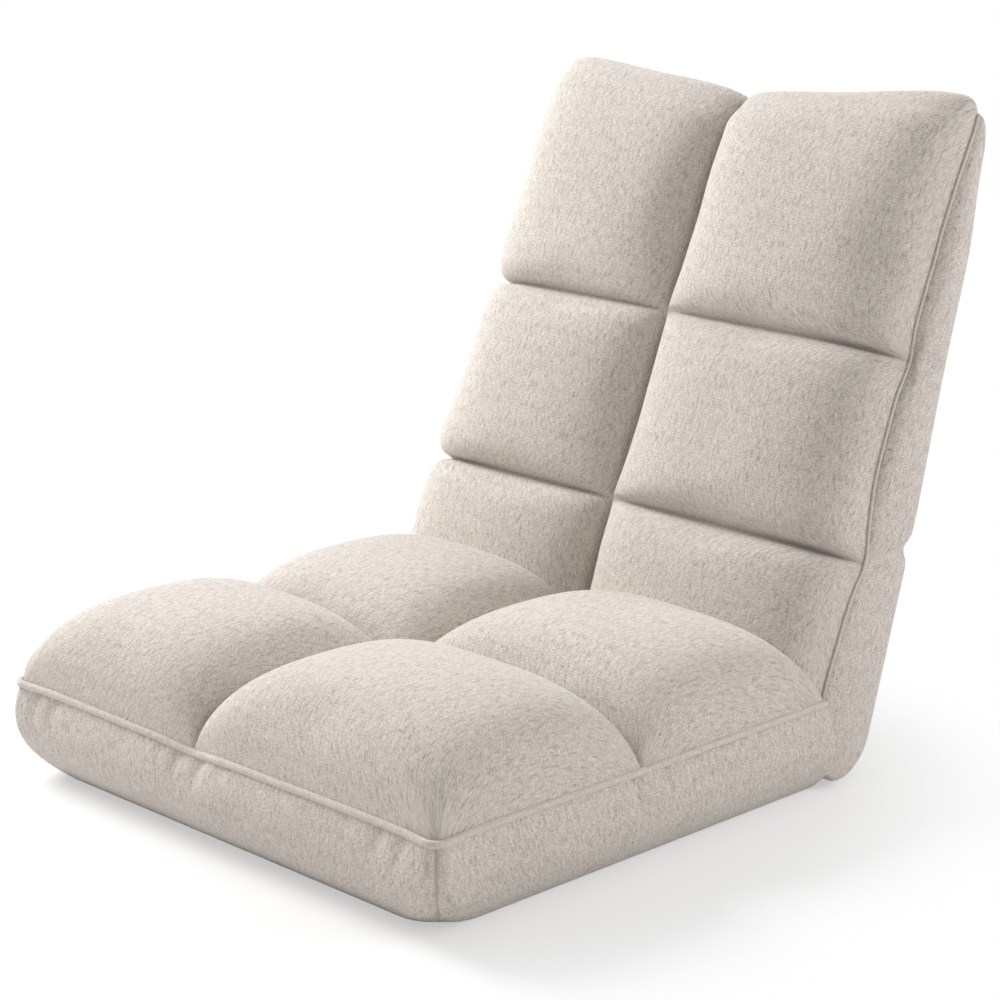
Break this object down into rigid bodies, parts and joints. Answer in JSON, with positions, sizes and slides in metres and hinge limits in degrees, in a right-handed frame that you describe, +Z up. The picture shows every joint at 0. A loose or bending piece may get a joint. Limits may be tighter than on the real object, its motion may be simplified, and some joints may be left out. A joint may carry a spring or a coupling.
{
  "type": "folding floor chair",
  "caption": "Legless floor chair with a quilted seat and a high quilted back that reclines in steps on two hidden ratchet hinges.",
  "frame": {"origin": "on the floor, under the middle of the seat's piped top seam", "axes": "+Z up, -Y the way the sitter faces, +X the sitter's left; the hinge axis runs along X"},
  "size_m": [0.544, 0.6846, 0.5544],
  "materials": {
    "cover_cloth": "matte",
    "lining_cloth": "matte",
    "grip_cloth": "matte",
    "felt": "matte",
    "foam": "matte",
    "frame_paint": "satin",
    "zinc_steel": "satin",
    "zip_tape": "matte",
    "zip_chain": "satin",
    "zip_metal": "satin"
  },
  "bodies": {
    "seat": {"seat_frame_tube": "frame_paint", "seat_cross_bars": "frame_paint", "seat_frame_rivets": "zinc_steel", "seat_foam": "foam", "seat_felt_pad": "felt", "seat_bottom_panel": "grip_cloth", "seat_boxing": "cover_cloth", "seat_rear_lining": "lining_cloth", "crease_gusset": "foam", "seat_quilt_backing": "lining_cloth", "seat_welt": "cover_cloth", "seat_pillow_front_left": "cover_cloth", "seat_pillow_front_right": "cover_cloth", "seat_pillow_rear_left": "cover_cloth", "seat_pillow_rear_right": "cover_cloth", "hinge_gear_arm_left": "zinc_steel", "hinge_gear_arm_right": "zinc_steel"},
    "back": {"back_frame_tube": "frame_paint", "back_cross_bars": "frame_paint", "back_frame_rivets": "zinc_steel", "back_foam": "foam", "back_cover": "cover_cloth", "back_quilt_backing": "lining_cloth", "zip_tape": "zip_tape", "zip_chain": "zip_chain", "back_pillow_lower_left": "cover_cloth", "back_pillow_lower_right": "cover_cloth", "back_pillow_middle_left": "cover_cloth", "back_pillow_middle_right": "cover_cloth", "back_pillow_upper_left": "cover_cloth", "back_pillow_upper_right": "cover_cloth", "back_side_left": "cover_cloth", "back_side_right": "cover_cloth", "hinge_case_outer_left": "zinc_steel", "hinge_case_outer_right": "zinc_steel", "hinge_case_inner_left": "zinc_steel", "hinge_case_inner_right": "zinc_steel", "hinge_pin_left": "zinc_steel", "hinge_pin_right": "zinc_steel", "pawl_pin_left": "zinc_steel", "pawl_pin_right": "zinc_steel", "pawl_spring_left": "zinc_steel", "pawl_spring_right": "zinc_steel"},
    "pawl_left": {"hinge_pawl_left": "zinc_steel"},
    "pawl_right": {"hinge_pawl_right": "zinc_steel"},
    "zip_slider": {"zip_slider": "zip_metal"},
    "zip_pull": {"zip_pull": "zip_metal"}
  },
  "joints": [
    {"name": "recline", "type": "hinge", "parent": "seat", "child": "back", "pos_m": [0, 0.258, 0.046], "axis": [1, 0, 0], "range_deg": [-72, 36], "deforming": ["back_pillow_lower_left", "back_pillow_lower_right", "crease_gusset"]},
    {"name": "pawl_swing_left", "type": "hinge", "parent": "back", "child": "pawl_left", "pos_m": [0.205, 0.28218, 0.06274], "axis": [1, 0, 0], "range_deg": [0, 5.74]},
    {"name": "pawl_swing_right", "type": "hinge", "parent": "back", "child": "pawl_right", "pos_m": [-0.205, 0.28218, 0.06274], "axis": [1, 0, 0], "range_deg": [0, 5.74]},
    {"name": "zip_slide", "type": "slide", "parent": "back", "child": "zip_slider", "axis": [1, 0, 0], "range_m": [0, 0.36]},
    {"name": "zip_pull_turn", "type": "hinge", "parent": "zip_slider", "child": "zip_pull", "pos_m": [-0.1815, 0.32805, 0.12519], "axis": [0, 0.2878, 0.9577], "range_deg": [0, 165]}
  ]
}
